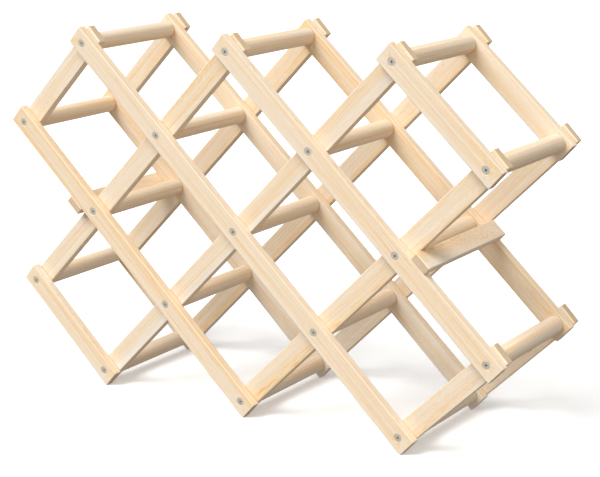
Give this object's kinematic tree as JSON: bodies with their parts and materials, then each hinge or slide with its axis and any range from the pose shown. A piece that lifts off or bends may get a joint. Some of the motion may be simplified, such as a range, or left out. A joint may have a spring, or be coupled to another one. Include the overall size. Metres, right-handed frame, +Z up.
{
  "type": "folding wine rack",
  "caption": "Free-standing folding rack of crossed wooden slats and round rungs that holds wine bottles lying flat.",
  "frame": {"origin": "on the floor, under the middle of the rack as it stands open", "axes": "+Z up; +X to the right along the rack's width; +Y to the back, along the rungs and the bottles"},
  "size_m": [0.4622, 0.1208, 0.3009],
  "materials": {
    "slat_pine": "raw sanded pine",
    "rung_pine": "raw sanded pine",
    "screw_steel": "zinc-plated, satin"
  },
  "bodies": {
    "centre_pivot": {"rung_middle_2": "rung_pine", "screws_centre": "screw_steel"},
    "falling_1": {"front_falling_slat_1": "slat_pine", "back_falling_slat_1": "slat_pine", "screws_falling_1": "screw_steel", "rung_lower_1": "rung_pine", "rung_bottom_1": "rung_pine"},
    "falling_2": {"front_falling_slat_2": "slat_pine", "back_falling_slat_2": "slat_pine", "screws_falling_2": "screw_steel", "rung_upper_1": "rung_pine", "rung_middle_1": "rung_pine", "rung_lower_2": "rung_pine", "rung_bottom_2": "rung_pine", "stop_board_left": "slat_pine"},
    "falling_3": {"front_falling_slat_3": "slat_pine", "back_falling_slat_3": "slat_pine", "screws_falling_3": "screw_steel", "rung_top_1": "rung_pine", "rung_upper_2": "rung_pine", "rung_lower_3": "rung_pine", "rung_bottom_3": "rung_pine"},
    "falling_4": {"front_falling_slat_4": "slat_pine", "back_falling_slat_4": "slat_pine", "screws_falling_4": "screw_steel", "rung_top_2": "rung_pine", "rung_upper_3": "rung_pine", "rung_middle_3": "rung_pine", "rung_lower_4": "rung_pine", "stop_board_right": "slat_pine"},
    "falling_5": {"front_falling_slat_5": "slat_pine", "back_falling_slat_5": "slat_pine", "screws_falling_5": "screw_steel", "rung_top_3": "rung_pine", "rung_upper_4": "rung_pine"},
    "rising_1": {"front_rising_slat_1": "slat_pine", "back_rising_slat_1": "slat_pine"},
    "rising_2": {"front_rising_slat_2": "slat_pine", "back_rising_slat_2": "slat_pine"},
    "rising_3": {"front_rising_slat_3": "slat_pine", "back_rising_slat_3": "slat_pine"},
    "rising_4": {"front_rising_slat_4": "slat_pine", "back_rising_slat_4": "slat_pine"},
    "rising_5": {"front_rising_slat_5": "slat_pine", "back_rising_slat_5": "slat_pine"}
  },
  "joints": [
    {"name": "fold", "type": "hinge", "parent": "centre_pivot", "child": "falling_3", "pos_m": [0, 0, 0.15046], "axis": [0, 1, 0], "range_deg": [0, 41.5]},
    {"name": "rising_3_turn", "type": "hinge", "parent": "centre_pivot", "child": "rising_3", "pos_m": [0, 0, 0.15046], "axis": [0, 1, 0], "range_deg": [-41.5, 0]},
    {"name": "rising_1_turn", "type": "hinge", "parent": "falling_3", "child": "rising_1", "pos_m": [-0.14531, 0, 0.28788], "axis": [0, 1, 0], "range_deg": [-83, 0]},
    {"name": "rising_2_turn", "type": "hinge", "parent": "falling_3", "child": "rising_2", "pos_m": [-0.07266, 0, 0.21917], "axis": [0, 1, 0], "range_deg": [-83, 0]},
    {"name": "rising_4_turn", "type": "hinge", "parent": "falling_3", "child": "rising_4", "pos_m": [0.07266, 0, 0.08176], "axis": [0, 1, 0], "range_deg": [-83, 0]},
    {"name": "rising_5_turn", "type": "hinge", "parent": "falling_3", "child": "rising_5", "pos_m": [0.14531, 0, 0.01305], "axis": [0, 1, 0], "range_deg": [-83, 0]},
    {"name": "falling_1_turn", "type": "hinge", "parent": "rising_3", "child": "falling_1", "pos_m": [-0.14531, 0, 0.01305], "axis": [0, 1, 0], "range_deg": [0, 83]},
    {"name": "falling_2_turn", "type": "hinge", "parent": "rising_3", "child": "falling_2", "pos_m": [-0.07266, 0, 0.08176], "axis": [0, 1, 0], "range_deg": [0, 83]},
    {"name": "falling_4_turn", "type": "hinge", "parent": "rising_3", "child": "falling_4", "pos_m": [0.07266, 0, 0.21917], "axis": [0, 1, 0], "range_deg": [0, 83]},
    {"name": "falling_5_turn", "type": "hinge", "parent": "rising_3", "child": "falling_5", "pos_m": [0.14531, 0, 0.28788], "axis": [0, 1, 0], "range_deg": [0, 83]}
  ],
  "couplings": [
    {"joint": "rising_3_turn", "follows": "fold", "ratio": -1},
    {"joint": "rising_1_turn", "follows": "fold", "ratio": -2},
    {"joint": "rising_2_turn", "follows": "fold", "ratio": -2},
    {"joint": "rising_4_turn", "follows": "fold", "ratio": -2},
    {"joint": "rising_5_turn", "follows": "fold", "ratio": -2},
    {"joint": "falling_1_turn", "follows": "fold", "ratio": 2},
    {"joint": "falling_2_turn", "follows": "fold", "ratio": 2},
    {"joint": "falling_4_turn", "follows": "fold", "ratio": 2},
    {"joint": "falling_5_turn", "follows": "fold", "ratio": 2}
  ]
}
